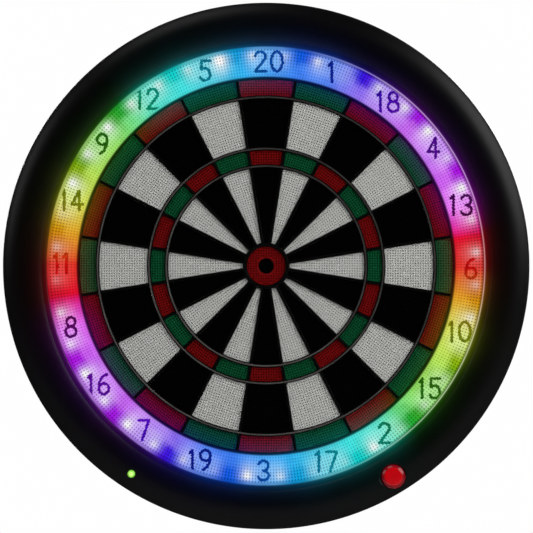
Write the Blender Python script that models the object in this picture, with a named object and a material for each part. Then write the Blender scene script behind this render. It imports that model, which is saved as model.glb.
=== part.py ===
"""Electronic dartboard: a round case around 82 sprung scoring segments, hung on a wall bracket.

Metres, +Z up. The wall is the plane Y = 0 and the board faces -Y. The origin is where the
hanging bolt's line meets the wall, in the middle of the board. "Depth" is the distance from
the wall towards the player, so a point at depth d lies at Y = -d. A "clock angle" runs
clockwise from the top, as the player sees it.
"""

import math

import bmesh
import bpy
from mathutils import Vector

MM = 0.001

# The case
CASE_RADIUS = 277.4 * MM
CASE_BACK = 9.0 * MM
CASE_PARTING = 28.0 * MM
CASE_FRONT = 50.0 * MM
SHELL_WALL = 2.5 * MM
GAP = 0.3 * MM
WINDOW_RADIUS = 231.3 * MM
LEDGE_RADIUS = 238.0 * MM
CROWN_RADIUS = 252.3 * MM
SLEEVE_WALL = 2.4 * MM
POST_PLACE_RADIUS = 222.0 * MM
POST_RADIUS = 5.0 * MM
BOSS_RADIUS = 10.0 * MM
BOSS_FRONT = 17.5 * MM

# The scoring area: the radii of the moulded rings between the segments
RIB_HALF = 1.1 * MM
SEGMENT_SIDE_GAP = 1.55 * MM
SEGMENT_END_GAP = 0.5 * MM
BULL_RING = (21.0 * MM, 24.0 * MM)
TREBLE_INNER_RING = (103.9 * MM, 106.6 * MM)
TREBLE_OUTER_RING = (122.4 * MM, 124.9 * MM)
DOUBLE_INNER_RING = (176.5 * MM, 179.1 * MM)
DOUBLE_OUTER_RING = (197.0 * MM, 199.0 * MM)
RINGS = (BULL_RING, TREBLE_INNER_RING, TREBLE_OUTER_RING, DOUBLE_INNER_RING, DOUBLE_OUTER_RING)
NUMBERS = (20, 1, 18, 4, 13, 6, 10, 15, 2, 17, 3, 19, 7, 16, 8, 11, 14, 9, 12, 5)
WEDGE = 2 * math.pi / len(NUMBERS)

# Depths of the layers, from the wall to the player
BACKING_BACK, BACKING_FRONT = 20.0 * MM, 23.0 * MM
PAD_BACK, PAD_FRONT = 23.3 * MM, 27.3 * MM
MEMBRANE_BACK, MEMBRANE_FRONT = 27.6 * MM, 28.0 * MM
FOOT_BACK = 29.5 * MM
STRAP_FRONT = 31.2 * MM
SPIDER_BACK = 31.6 * MM
FLANGE_FRONT = 33.4 * MM
SEGMENT_BACK = 33.0 * MM
SEGMENT_FRONT = 42.0 * MM
LIGHT_RING_FRONT = 44.0 * MM
SPIDER_FRONT = 44.5 * MM
FLANGE_RADIUS = 236.0 * MM

# The number ring's trough and the lights behind it
RING_WALL = 1.8 * MM
RING_FACE = 2.5 * MM
RING_FOOT = 36.0 * MM
LED_COUNT = 40
LED_RADII = (219.5 * MM, 225.5 * MM)
LED_HALF_WIDTH = 3.0 * MM
LED_HEIGHT = 1.5 * MM
LED_BOARD_RADII = (201.5 * MM, 229.0 * MM)
LED_BOARD_THICKNESS = 1.6 * MM

# The push button and the pilot light, as places on the case front
BUTTON_PLACE = (133.8 * MM, -221.6 * MM)
BUTTON_RADIUS = 13.0 * MM
BUTTON_FRONT = 51.0 * MM
BUTTON_TRAVEL = 1.5 * MM
PILOT_PLACE = (-142.0 * MM, -218.8 * MM)
PILOT_RADIUS = 4.0 * MM

# The power inlet in the bottom of the case, and the controller board above it
INLET_DEPTH = 20.0 * MM
INLET_COLLAR = 4.6 * MM
INLET_BORE = 3.3 * MM
INLET_PIN = 0.9 * MM
CONTROLLER_BACK, CONTROLLER_FRONT = 12.5 * MM, 14.1 * MM

# The wall bracket and the bolt that hangs in it
BRACKET_HALF_WIDTH = 22.0 * MM
BRACKET_STEEL = 2.0 * MM
BRACKET_FRONT = 7.0 * MM
BOLT_RADIUS = 4.0 * MM
HOOK_TOP = 22.0 * MM

# The rubber feet on the back
FOOT_PLACE_RADIUS = 235.0 * MM
FOOT_RADIUS = 9.0 * MM
FOOT_WALL_GAP = 0.5 * MM

# Facets in a full circle: three to each wedge on the big rings
RING_STEPS = 60
SMALL_STEPS = 20


# ---------------------------------------------------------------- helpers


def clear_scene():
    for old in list(bpy.data.objects):
        bpy.data.objects.remove(old, do_unlink=True)


def make_material(name, colour, roughness, metallic=0.0, alpha=1.0):
    material = bpy.data.materials.new(name)
    material.use_nodes = True
    shader = material.node_tree.nodes["Principled BSDF"]
    shader.inputs["Base Color"].default_value = (*colour, 1.0)
    shader.inputs["Roughness"].default_value = roughness
    shader.inputs["Metallic"].default_value = metallic
    shader.inputs["Alpha"].default_value = alpha
    return material


def on_face(radius, clock, depth):
    """The point at this radius and clock angle on a face at this depth."""
    return Vector((radius * math.sin(clock), -depth, radius * math.cos(clock)))


def new_object(name, mesh_builder, material, location=(0, 0, 0)):
    """An object made from a bmesh, with its faces pointing out and its round parts smooth."""
    bmesh.ops.remove_doubles(mesh_builder, verts=mesh_builder.verts, dist=1e-6)
    bmesh.ops.recalc_face_normals(mesh_builder, faces=mesh_builder.faces)
    mesh = bpy.data.meshes.new(name)
    mesh_builder.to_mesh(mesh)
    mesh_builder.free()
    mesh.shade_smooth()
    mesh.set_sharp_from_angle(angle=math.radians(30))
    mesh.materials.append(material)
    obj = bpy.data.objects.new(name, mesh)
    obj.location = location
    bpy.context.collection.objects.link(obj)
    return obj


def turned(name, profile, material, steps=RING_STEPS, axis="Y", location=(0, 0, 0)):
    """A closed profile spun about the Y axis, as (radius, depth), or about Z, as (radius, z)."""
    builder = bmesh.new()
    if axis == "Y":
        points = [Vector((0, -depth, radius)) for radius, depth in profile]
        spin_axis = Vector((0, 1, 0))
    else:
        points = [Vector((radius, 0, height)) for radius, height in profile]
        spin_axis = Vector((0, 0, 1))
    corners = [builder.verts.new(point) for point in points]
    edges = [builder.edges.new((a, b)) for a, b in zip(corners, corners[1:])]
    if min(profile[0][0], profile[-1][0]) > 0:
        edges.append(builder.edges.new((corners[-1], corners[0])))
    bmesh.ops.spin(
        builder, geom=edges, cent=(0, 0, 0), axis=spin_axis, angle=2 * math.pi,
        steps=steps, use_merge=True, use_duplicate=False,
    )
    return new_object(name, builder, material, location)


def prism(name, outline, back, front, material, location=(0, 0, 0)):
    """A flat outline of (x, z) points, extruded between two depths."""
    builder = bmesh.new()
    face = builder.faces.new([builder.verts.new((x, -back, z)) for x, z in outline])
    grown = bmesh.ops.extrude_face_region(builder, geom=[face])
    moved = [item for item in grown["geom"] if isinstance(item, bmesh.types.BMVert)]
    bmesh.ops.translate(builder, verts=moved, vec=(0, back - front, 0))
    return new_object(name, builder, material, location)


def box(name, low, high, material):
    """A box between two corners, each (x, depth, z)."""
    outline = [(low[0], low[2]), (high[0], low[2]), (high[0], high[2]), (low[0], high[2])]
    return prism(name, outline, low[1], high[1], material)


def disc_outline(radius, steps, centre=(0, 0)):
    turns = [2 * math.pi * step / steps for step in range(steps)]
    return [(centre[0] + radius * math.sin(t), centre[1] + radius * math.cos(t)) for t in turns]


def combine(body, tools, operation="UNION"):
    """Joins the tools to the body, or cuts them from it, and removes them."""
    for tool in tools:
        modifier = body.modifiers.new(tool.name, "BOOLEAN")
        modifier.operation = operation
        modifier.solver = "EXACT"
        modifier.object = tool
    graph = bpy.context.evaluated_depsgraph_get()
    mesh = bpy.data.meshes.new_from_object(body.evaluated_get(graph))
    body.modifiers.clear()
    body.data = mesh
    for tool in tools:
        bpy.data.objects.remove(tool, do_unlink=True)
    mesh.shade_smooth()
    mesh.set_sharp_from_angle(angle=math.radians(30))
    return body


# ---------------------------------------------------------------- scoring segments


def arc_of_wedge(radius, clock, steps):
    """Points along a wedge's arc, which stops short of the ribs on both sides."""
    inset = math.asin(SEGMENT_SIDE_GAP / radius)
    turns = [-WEDGE / 2 + WEDGE * step / steps for step in range(steps + 1)]
    turns[0] += inset
    turns[-1] -= inset
    return [(radius * math.sin(clock + t), radius * math.cos(clock + t)) for t in turns]


def wedge_block(name, inner, outer, clock, material):
    steps = round(RING_STEPS / len(NUMBERS))
    outline = arc_of_wedge(outer, clock, steps) + arc_of_wedge(inner, clock, steps)[::-1]
    return prism(name, outline, SEGMENT_BACK, SEGMENT_FRONT, material)


def slab(name, inner, outer, clock, half_angle, back, front, material):
    """A four-cornered slab of a sector: a segment's foot, or the strap between two of them."""
    turns = (clock - half_angle, clock + half_angle)
    far = [(outer * math.sin(t), outer * math.cos(t)) for t in turns]
    near = [(inner * math.sin(t), inner * math.cos(t)) for t in turns]
    return prism(name, far + near[::-1], back, front, material)


def linked_pair(name, blocks, feet, strap_clock, clock, material):
    """Two scoring blocks on one strap that runs behind the block between them."""
    first, second = [
        wedge_block(name if n == 0 else "second", inner, outer, clock, material)
        for n, (inner, outer) in enumerate(blocks)
    ]
    side = clock + strap_clock
    half = math.radians(1.5)
    overlap = 0.4 * MM
    tools = [
        slab("foot", inner, outer, side, half, FOOT_BACK, SEGMENT_BACK + overlap, material)
        for inner, outer in feet
    ]
    inset = 2 * MM
    start, stop = feet[0][0] + inset, feet[1][1] - inset
    tools.append(
        slab("strap", start, stop, side, half * 0.8, FOOT_BACK + 0.2 * MM, STRAP_FRONT, material)
    )
    return combine(first, [*tools, second])


def scoring_segments(black, white, red, green):
    between = SEGMENT_END_GAP
    inner_single = (BULL_RING[1] + between, TREBLE_INNER_RING[0] - between)
    treble = (TREBLE_INNER_RING[1] + between, TREBLE_OUTER_RING[0] - between)
    outer_single = (TREBLE_OUTER_RING[1] + between, DOUBLE_INNER_RING[0] - between)
    double = (DOUBLE_INNER_RING[1] + between, DOUBLE_OUTER_RING[0] - between)
    single_feet = ((inner_single[1] - 12 * MM, inner_single[1] - 3 * MM),
                   (outer_single[0] + 3 * MM, outer_single[0] + 12 * MM))
    scoring_feet = ((treble[0] + 2 * MM, treble[1] - 2 * MM), (double[0] + 2 * MM, double[1] - 3 * MM))
    strap_clock = math.radians(4)
    for place, number in enumerate(NUMBERS):
        clock = place * WEDGE
        dark = place % 2 == 0
        linked_pair(
            f"single_{number:02d}", (inner_single, outer_single), single_feet,
            strap_clock, clock, black if dark else white,
        )
        linked_pair(
            f"double_treble_{number:02d}", (treble, double), scoring_feet,
            -strap_clock, clock, red if dark else green,
        )


def bulls(red, black):
    """The outer bull is a ring around the inner bull, and each slides on its own."""
    inner_radius = 7.7 * MM
    hole = inner_radius + 0.5 * MM
    outer = BULL_RING[0] - 0.5 * MM
    foot = (11.5 * MM, 17.0 * MM)
    turned("outer_bull", [
        (hole, SEGMENT_FRONT), (hole, SEGMENT_BACK), (foot[0], SEGMENT_BACK), (foot[0], FOOT_BACK),
        (foot[1], FOOT_BACK), (foot[1], SEGMENT_BACK), (outer, SEGMENT_BACK), (outer, SEGMENT_FRONT),
    ], red, steps=SMALL_STEPS)
    turned("inner_bull", [
        (0, SEGMENT_FRONT), (inner_radius, SEGMENT_FRONT), (inner_radius, SEGMENT_BACK),
        (5.0 * MM, SEGMENT_BACK), (5.0 * MM, FOOT_BACK), (0, FOOT_BACK),
    ], black, steps=SMALL_STEPS)


# ---------------------------------------------------------------- fixed pieces of the board


def spider(material):
    """The moulded frame between the segments: rings and radial ribs on a flat outer flange.

    It starts as one flat web of faces, which is thickened once, and once more where the ribs
    stand. Every wedge has the same columns: its rib, then the arcs up to the next rib.
    """
    builder = bmesh.new()
    arcs = round(RING_STEPS / len(NUMBERS))
    radii = [radius for ring in RINGS for radius in ring] + [FLANGE_RADIUS]
    rows = []
    for radius in radii:
        lean = math.asin(RIB_HALF / radius)
        row = []
        for place in range(len(NUMBERS)):
            rib = (place - 0.5) * WEDGE
            turns = [rib - lean, rib + lean] + [rib + WEDGE * step / arcs for step in range(1, arcs)]
            row += [builder.verts.new(on_face(radius, turn, SPIDER_BACK)) for turn in turns]
        rows.append(row)
    columns = arcs + 1
    count = len(rows[0])
    tall, flat = [], []
    for level, (inner, outer) in enumerate(zip(rows, rows[1:])):
        on_ring = level % 2 == 0
        flange = level == len(rows) - 2
        for column in range(count):
            if not (on_ring or flange or column % columns == 0):
                continue
            after = (column + 1) % count
            face = builder.faces.new((inner[column], inner[after], outer[after], outer[column]))
            (flat if flange else tall).append(face)
    thicken(builder, tall + flat, FLANGE_FRONT - SPIDER_BACK)
    standing = [
        face for face in builder.faces
        if on_flat_depth(face, FLANGE_FRONT) and middle_radius(face) < DOUBLE_OUTER_RING[1]
    ]
    thicken(builder, standing, SPIDER_FRONT - FLANGE_FRONT, on_solid=True)
    return new_object("spider", builder, material)


def thicken(builder, faces, thickness, on_solid=False):
    """Extrudes a flat sheet into a solid or, on a solid, raises some of its front faces."""
    grown = bmesh.ops.extrude_face_region(builder, geom=faces)
    moved = [item for item in grown["geom"] if isinstance(item, bmesh.types.BMVert)]
    bmesh.ops.translate(builder, verts=moved, vec=(0, -thickness, 0))
    if on_solid:
        bmesh.ops.delete(builder, geom=faces, context="FACES_ONLY")


def on_flat_depth(face, depth):
    return all(abs(corner.co.y + depth) < 1e-6 for corner in face.verts)


def middle_radius(face):
    middle = face.calc_center_median()
    return math.hypot(middle.x, middle.z)


def front_bezel(material):
    """The crowned front ring. Its outer part rolls down to a rounded rim, its inner part to a ledge."""
    outer, front, window, wall = CASE_RADIUS, CASE_FRONT, WINDOW_RADIUS, SHELL_WALL
    bottom = CASE_PARTING + GAP
    seat = FLANGE_FRONT + GAP
    rim_front = front - 8.4 * MM
    lip = window + 2.3 * MM
    roll = [
        (outer - 3.2 * MM, front - 5.6 * MM), (outer - 7.4 * MM, front - 3.6 * MM),
        (outer - 13.4 * MM, front - 1.6 * MM), (outer - 19.4 * MM, front - 0.4 * MM),
        (CROWN_RADIUS, front), (CROWN_RADIUS - 6 * MM, front - 0.5 * MM),
        (LEDGE_RADIUS, front - 2.2 * MM),
    ]
    bezel = turned("front_bezel", [
        (outer, bottom), (outer, rim_front), (outer - 0.9 * MM, rim_front + 1.6 * MM),
        *roll, (LEDGE_RADIUS - 1.5 * MM, front - 3.6 * MM),
        (window, front - 4.5 * MM), (window, seat), (lip, seat), (lip, front - 6.6 * MM),
        (LEDGE_RADIUS - 1 * MM, front - 2.2 * MM - wall), (CROWN_RADIUS, front - wall),
        (outer - 15 * MM, front - 1.6 * MM - wall), (outer - 5 * MM, rim_front - 0.3 * MM),
        (outer - wall, rim_front - wall), (outer - wall, bottom),
    ], material)
    place = (BUTTON_PLACE[0], 0, BUTTON_PLACE[1])
    bore = BUTTON_RADIUS + 0.4 * MM
    sleeve_back, sleeve_front = 38 * MM, front - 1.7 * MM
    sleeve = turned("sleeve", [
        (bore - 1 * MM, sleeve_back), (bore - 1 * MM, sleeve_front),
        (bore + SLEEVE_WALL, sleeve_front), (bore + SLEEVE_WALL, sleeve_back),
    ], material, steps=SMALL_STEPS, location=place)
    for corner in sleeve.data.vertices:
        if corner.co.y < -(sleeve_back + sleeve_front) / 2:
            radius = math.hypot(corner.co.x + place[0], corner.co.z + place[2])
            corner.co.y = 1 * MM - depth_along(roll, radius)
    combine(bezel, [sleeve])
    clear_back, clear_front = 30 * MM, front + 2 * MM
    well = turned("well", [
        (0, clear_back), (bore, clear_back), (bore, sleeve_front), (bore + 2.6 * MM, clear_front),
        (0, clear_front),
    ], material, steps=SMALL_STEPS, location=place)
    pilot_bore = PILOT_RADIUS + 0.4 * MM
    pilot_hole = turned("pilot_hole", [
        (0, clear_back), (pilot_bore, clear_back), (pilot_bore, clear_front), (0, clear_front),
    ], material, steps=12, location=(PILOT_PLACE[0], 0, PILOT_PLACE[1]))
    return combine(bezel, [well, pilot_hole], "DIFFERENCE")


def depth_along(profile, radius):
    """The depth at a radius on a profile of (radius, depth) that runs inwards."""
    for (outer, low), (inner, high) in zip(profile, profile[1:]):
        if radius >= inner:
            return low + (high - low) * (outer - radius) / (outer - inner)
    return profile[-1][1]


def rear_cover(material):
    """A shallow dish with a boss for the bolt, screw posts and a hole for the inlet."""
    outer, back, wall = CASE_RADIUS - 0.8 * MM, CASE_BACK, SHELL_WALL
    bore = BOLT_RADIUS + GAP
    spigot, spigot_front = outer - 2.2 * MM, CASE_PARTING + 3 * MM
    inside = spigot - 2 * MM
    cover = turned("rear_cover", [
        (bore, back), (262 * MM, back), (270 * MM, back + 2 * MM), (outer - 0.6 * MM, back + 7 * MM),
        (outer, CASE_PARTING), (spigot, CASE_PARTING), (spigot, spigot_front), (inside, spigot_front),
        (inside, back + 9 * MM), (268.4 * MM, back + 4.4 * MM), (261 * MM, back + wall),
        (BOSS_RADIUS, back + wall), (BOSS_RADIUS, BOSS_FRONT), (bore, BOSS_FRONT),
    ], material)
    posts = []
    for n in range(6):
        x, _, z = on_face(POST_PLACE_RADIUS, math.radians(30 + 60 * n), 0)
        outline = disc_outline(POST_RADIUS, 10, (x, z))
        posts.append(prism(f"post_{n}", outline, back + 1 * MM, SPIDER_BACK - GAP, material))
    combine(cover, posts)
    hole, hole_bottom, hole_top = INLET_COLLAR + 0.4 * MM, -290 * MM, -265 * MM
    inlet_hole = turned("inlet_hole", [
        (0, hole_bottom), (hole, hole_bottom), (hole, hole_top), (0, hole_top),
    ], material, steps=16, axis="Z", location=(0, -INLET_DEPTH, 0))
    return combine(cover, [inlet_hole], "DIFFERENCE")


def feet(material):
    """Two rubber feet low on the back, which the board leans on the wall with."""
    for name, clock in (("foot_right", 120), ("foot_left", 240)):
        x, _, z = on_face(FOOT_PLACE_RADIUS, math.radians(clock), 0)
        outline = disc_outline(FOOT_RADIUS, 16)
        prism(name, outline, FOOT_WALL_GAP, CASE_BACK - GAP, material, location=(x, 0, z))


def light_ring(material):
    """The translucent number ring: a trough turned over the lights, walls downwards."""
    inner, outer = DOUBLE_OUTER_RING[1] + 0.4 * MM, WINDOW_RADIUS - GAP
    foot, front = RING_FOOT, LIGHT_RING_FRONT
    return turned("light_ring", [
        (inner, foot), (inner, front), (outer, front), (outer, foot), (outer - RING_WALL, foot),
        (outer - RING_WALL, front - RING_FACE), (inner + RING_WALL, front - RING_FACE),
        (inner + RING_WALL, foot),
    ], material)


def led_ring_board(material):
    """A ring-shaped circuit board with its lights standing on it."""
    builder = bmesh.new()
    back = FLANGE_FRONT + GAP
    front = back + LED_BOARD_THICKNESS
    edges = (LED_BOARD_RADII[0], *LED_RADII, LED_BOARD_RADII[1])
    half_lamp = LED_HALF_WIDTH / LED_RADII[1]
    pitch = 2 * math.pi / LED_COUNT
    turns = []
    for n in range(LED_COUNT):
        middle = (n + 0.5) * pitch
        turns += [middle - half_lamp, middle + half_lamp]
    rows = [[builder.verts.new(on_face(radius, turn, back)) for turn in turns] for radius in edges]
    for inner, outer in zip(rows, rows[1:]):
        for column in range(len(turns)):
            after = (column + 1) % len(turns)
            builder.faces.new((inner[column], inner[after], outer[after], outer[column]))
    thicken(builder, builder.faces[:], front - back)
    longest_edge = 2.5 * LED_HALF_WIDTH
    lamps = [
        face for face in builder.faces
        if on_flat_depth(face, front)
        and LED_RADII[0] - 1 * MM < middle_radius(face) < LED_RADII[1]
        and max(edge.calc_length() for edge in face.edges) < longest_edge
    ]
    thicken(builder, lamps, LED_HEIGHT, on_solid=True)
    return new_object("led_ring_board", builder, material)


def sensor_membrane(material):
    """The printed switch film behind the segments, with a tail down to the main board."""
    radius, tail_half, tail_end = 198 * MM, 15 * MM, -199.6 * MM
    outline = disc_outline(radius, RING_STEPS)
    near_bottom = [n for n, (x, z) in enumerate(outline) if z < 0 and abs(x) < tail_half + 1 * MM]
    for n in near_bottom:
        outline[n] = (math.copysign(tail_half, outline[n][0]) if outline[n][0] else 0, tail_end)
    return prism("sensor_membrane", outline, MEMBRANE_BACK, MEMBRANE_FRONT, material)


def damping_pad(material):
    outline = disc_outline(197 * MM, RING_STEPS)
    return prism("damping_pad", outline, PAD_BACK, PAD_FRONT, material)


def backing_plate(material):
    """A stiff tray that holds the pad and the membrane against the segments' feet."""
    rim_inner, rim_outer, rim_front = 201 * MM, 204 * MM, SPIDER_BACK - GAP
    return turned("backing_plate", [
        (0, BACKING_BACK), (rim_outer, BACKING_BACK), (rim_outer, rim_front),
        (rim_inner, rim_front), (rim_inner, BACKING_FRONT), (0, BACKING_FRONT),
    ], material)


def main_board(material):
    """The controller board at the bottom of the case, with its processor, radio and connector."""
    back, front = CONTROLLER_BACK, CONTROLLER_FRONT
    half_width, low, high = 52 * MM, -258 * MM, -208 * MM
    board = box("main_board", (-half_width, back, low), (half_width, front, high), material)
    sunk = front - 0.3 * MM
    chip_front, radio_front, plug_front = front + 1.4 * MM, front + 2.4 * MM, front + 4.5 * MM
    parts = [
        box("chip", (-34 * MM, sunk, low + 20 * MM), (-20 * MM, chip_front, low + 34 * MM), material),
        box("radio", (18 * MM, sunk, low + 18 * MM), (34 * MM, radio_front, low + 42 * MM), material),
        box("plug", (-14 * MM, sunk, high - 8 * MM), (14 * MM, plug_front, high - 3 * MM), material),
    ]
    return combine(board, parts)


def power_socket(material):
    """The inlet: a block on the main board with a round collar that looks down through the case."""
    place = (0, -INLET_DEPTH, 0)
    mouth, bore_end, collar_top = -(CASE_RADIUS - 1.6 * MM), -262 * MM, -256 * MM
    body = turned("power_socket", [
        (0, collar_top), (INLET_COLLAR, collar_top), (INLET_COLLAR, mouth), (INLET_BORE, mouth),
        (INLET_BORE, bore_end), (INLET_PIN, bore_end), (INLET_PIN, bore_end - 4 * MM),
        (0, bore_end - 4.5 * MM),
    ], material, steps=16, axis="Z", location=place)
    half_width, block_back = 7 * MM, CONTROLLER_FRONT + GAP
    block_front = 2 * INLET_DEPTH - block_back
    low = (-half_width, block_back, collar_top - 1 * MM)
    high = (half_width, block_front, collar_top + 11 * MM)
    return combine(body, [box("block", low, high, material)])


def button_parts(red, steel, dark):
    """The push button: cap on its sleeve, return spring, and a switch soldered on its board."""
    place = (BUTTON_PLACE[0], 0, BUTTON_PLACE[1])
    board_back, board_front = 28.6 * MM, 30.2 * MM
    switch_front, plunger_front = 35.0 * MM, 36.6 * MM
    skirt_back = 43.5 * MM
    stem_back = plunger_front + BUTTON_TRAVEL + GAP
    top = BUTTON_FRONT
    turned("button_cap", [
        (0, top), (5 * MM, top - 0.15 * MM), (9 * MM, top - 0.55 * MM), (11.6 * MM, top - 1.3 * MM),
        (12.7 * MM, top - 2.5 * MM), (BUTTON_RADIUS, top - 4 * MM), (BUTTON_RADIUS, skirt_back),
        (3 * MM, skirt_back), (3 * MM, stem_back), (0, stem_back),
    ], red, steps=24, location=place)
    coil("button_spring", 8.4 * MM, 0.5 * MM, board_front + 0.8 * MM, skirt_back - 0.8 * MM, 4,
         steel, location=place)
    half = 9.0 * MM
    board = [(-half, -half), (half, -half), (half, half), (-half, half)]
    switch_board = prism("button_switch", board, board_back, board_front, dark, location=place)
    body = [(x / 3, z / 3) for x, z in board]
    plunger = disc_outline(1.7 * MM, 12)
    combine(switch_board, [
        prism("body", body, board_front - 1 * MM, switch_front, dark, location=place),
        prism("plunger", plunger, switch_front - 1 * MM, plunger_front, dark, location=place),
    ])


def coil(name, radius, wire, back, front, turns, material, location):
    """A compression spring: a round wire along a helix, as a curve with filled ends."""
    curve = bpy.data.curves.new(name, "CURVE")
    curve.dimensions = "3D"
    curve.bevel_depth = wire
    curve.bevel_resolution = 1
    curve.use_fill_caps = True
    steps = turns * 14
    spline = curve.splines.new("POLY")
    spline.points.add(steps)
    for step in range(steps + 1):
        clock = 2 * math.pi * turns * step / steps
        point = on_face(radius, clock, back + (front - back) * step / steps)
        spline.points[step].co = (*point, 1.0)
    curve.materials.append(material)
    obj = bpy.data.objects.new(name, curve)
    obj.location = location
    bpy.context.collection.objects.link(obj)
    return obj


def indicator_lens(material):
    place = (PILOT_PLACE[0], 0, PILOT_PLACE[1])
    top = CASE_FRONT + 0.4 * MM
    return turned("indicator_lens", [
        (0, top), (2.4 * MM, top - 0.2 * MM), (PILOT_RADIUS, top - 0.9 * MM),
        (PILOT_RADIUS, 47 * MM), (PILOT_RADIUS, 42 * MM), (0, 42 * MM),
    ], material, steps=12, location=place)


# ---------------------------------------------------------------- hanging


def wall_bracket(material):
    """A folded steel bracket: a back plate on the wall and a raised hook open at the top."""
    half, steel, front = BRACKET_HALF_WIDTH, BRACKET_STEEL, BRACKET_FRONT
    hook_bottom = -24 * MM
    bracket = box("wall_bracket", (-half, 0, -46 * MM), (half, steel, 46 * MM), material)
    hook = box("hook", (-half + 1 * MM, 1 * MM, hook_bottom), (half - 1 * MM, front, HOOK_TOP), material)
    combine(bracket, [hook])
    inside = half - 1 * MM - steel
    channel = box(
        "channel", (-inside, steel, hook_bottom - 5 * MM), (inside, front - steel, HOOK_TOP + 5 * MM),
        material,
    )
    slot_radius = BOLT_RADIUS + GAP
    around = [math.pi / 2 + math.pi * step / 10 for step in range(11)]
    slot = [(slot_radius * math.sin(t), slot_radius * math.cos(t)) for t in around]
    slot += [(-slot_radius, HOOK_TOP + 5 * MM), (slot_radius, HOOK_TOP + 5 * MM)]
    cutters = [channel, prism("slot", slot, front - 3 * MM, front + 3 * MM, material)]
    for z in (-36 * MM, 34 * MM):
        hole = disc_outline(2.3 * MM, 12, (0, z))
        cutters.append(prism(f"screw_hole_{z:.3f}", hole, -2 * MM, steel + 2 * MM, material))
    return combine(bracket, cutters, "DIFFERENCE")


def hanger_bolt(material):
    """The bolt in the middle of the case, whose flat head hangs behind the bracket's hook."""
    head_back, head_front, end = 2.4 * MM, 4.6 * MM, 18.5 * MM
    head_radius = 7.5 * MM
    return turned("hanger_bolt", [
        (0, head_back), (head_radius - 1 * MM, head_back), (head_radius, head_back + 0.8 * MM),
        (head_radius, head_front), (BOLT_RADIUS, head_front), (BOLT_RADIUS, end), (0, end),
    ], material, steps=SMALL_STEPS)


# ---------------------------------------------------------------- assembly


def main():
    clear_scene()
    black_case = make_material("black_case", (0.012, 0.012, 0.013), 0.35)
    black_segment = make_material("black_segment", (0.01, 0.01, 0.01), 0.45)
    white_segment = make_material("white_segment", (0.6, 0.6, 0.56), 0.5)
    red_segment = make_material("red_segment", (0.25, 0.01, 0.012), 0.45)
    green_segment = make_material("green_segment", (0.005, 0.12, 0.06), 0.45)
    spider_black = make_material("spider_black", (0.02, 0.02, 0.02), 0.4)
    diffuser = make_material("diffuser", (0.75, 0.8, 0.9), 0.4)
    circuit_green = make_material("circuit_green", (0.01, 0.12, 0.04), 0.5)
    film = make_material("film", (0.7, 0.65, 0.5), 0.4)
    foam = make_material("foam", (0.06, 0.06, 0.065), 0.95)
    backing = make_material("backing", (0.1, 0.1, 0.1), 0.7)
    button_red = make_material("button_red", (0.5, 0.008, 0.008), 0.2)
    pilot_green = make_material("pilot_green", (0.5, 0.9, 0.15), 0.25)
    spring_steel = make_material("spring_steel", (0.6, 0.6, 0.6), 0.3, metallic=1.0)
    bracket_steel = make_material("bracket_steel", (0.05, 0.05, 0.05), 0.5, metallic=0.6)
    bolt_zinc = make_material("bolt_zinc", (0.7, 0.7, 0.68), 0.3, metallic=1.0)
    dark_plastic = make_material("dark_plastic", (0.02, 0.02, 0.02), 0.5)
    rubber = make_material("rubber", (0.015, 0.015, 0.015), 0.8)

    scoring_segments(black_segment, white_segment, red_segment, green_segment)
    bulls(red_segment, black_segment)
    spider(spider_black)
    front_bezel(black_case)
    rear_cover(black_case)
    feet(rubber)
    light_ring(diffuser)
    led_ring_board(circuit_green)
    sensor_membrane(film)
    damping_pad(foam)
    backing_plate(backing)
    main_board(circuit_green)
    power_socket(dark_plastic)
    button_parts(button_red, spring_steel, dark_plastic)
    indicator_lens(pilot_green)
    wall_bracket(bracket_steel)
    hanger_bolt(bolt_zinc)


main()
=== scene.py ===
# Looks of the electronic dartboard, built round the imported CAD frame.
#
# Lengths are in millimetres and become metres where a mesh is made. +Z is up, the wall is the plane
# Y = 0 and the board faces -Y. "Depth" is the distance from the wall, so a point at depth d has
# Y = -d. A "clock" angle runs clockwise from the top, as the player sees it.

import colorsys
import math
from contextlib import contextmanager

import bmesh
import bpy
import numpy as np
from mathutils import Matrix, Vector
from mathutils.geometry import delaunay_2d_cdt


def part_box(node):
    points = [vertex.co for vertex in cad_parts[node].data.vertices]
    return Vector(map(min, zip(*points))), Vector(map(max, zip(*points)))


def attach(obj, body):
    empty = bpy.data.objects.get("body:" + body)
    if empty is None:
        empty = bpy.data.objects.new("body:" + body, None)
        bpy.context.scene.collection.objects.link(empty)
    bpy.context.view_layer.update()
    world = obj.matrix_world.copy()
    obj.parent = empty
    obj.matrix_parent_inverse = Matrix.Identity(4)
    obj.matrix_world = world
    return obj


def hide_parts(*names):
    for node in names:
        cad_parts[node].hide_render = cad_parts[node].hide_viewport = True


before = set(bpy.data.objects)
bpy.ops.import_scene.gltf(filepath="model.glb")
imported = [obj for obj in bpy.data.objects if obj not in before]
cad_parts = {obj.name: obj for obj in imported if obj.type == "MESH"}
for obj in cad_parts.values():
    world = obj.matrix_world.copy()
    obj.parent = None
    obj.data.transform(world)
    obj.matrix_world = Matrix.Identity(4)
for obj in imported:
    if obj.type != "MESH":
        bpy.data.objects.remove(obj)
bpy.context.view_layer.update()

MM = 0.001
FULL_TURN = 2 * math.pi
NUMBERS = (20, 1, 18, 4, 13, 6, 10, 15, 2, 17, 3, 19, 7, 16, 8, 11, 14, 9, 12, 5)
WEDGE = FULL_TURN / len(NUMBERS)
BLACK, WHITE = (0, 0, 0, 1), (1, 1, 1, 1)

# The scoring segments
RIB_HALF = 1.1
SIDE_GAP = 1.55
BLOCK_HEIGHT = 9.0
HOLE_PITCH = 2.66
HOLE_RADIUS = 0.92
HOLE_RIM = 0.55
HOLE_DEPTH = 0.85
HOLE_SIDES = 6
EDGE_CHAMFER = 0.45

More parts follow.
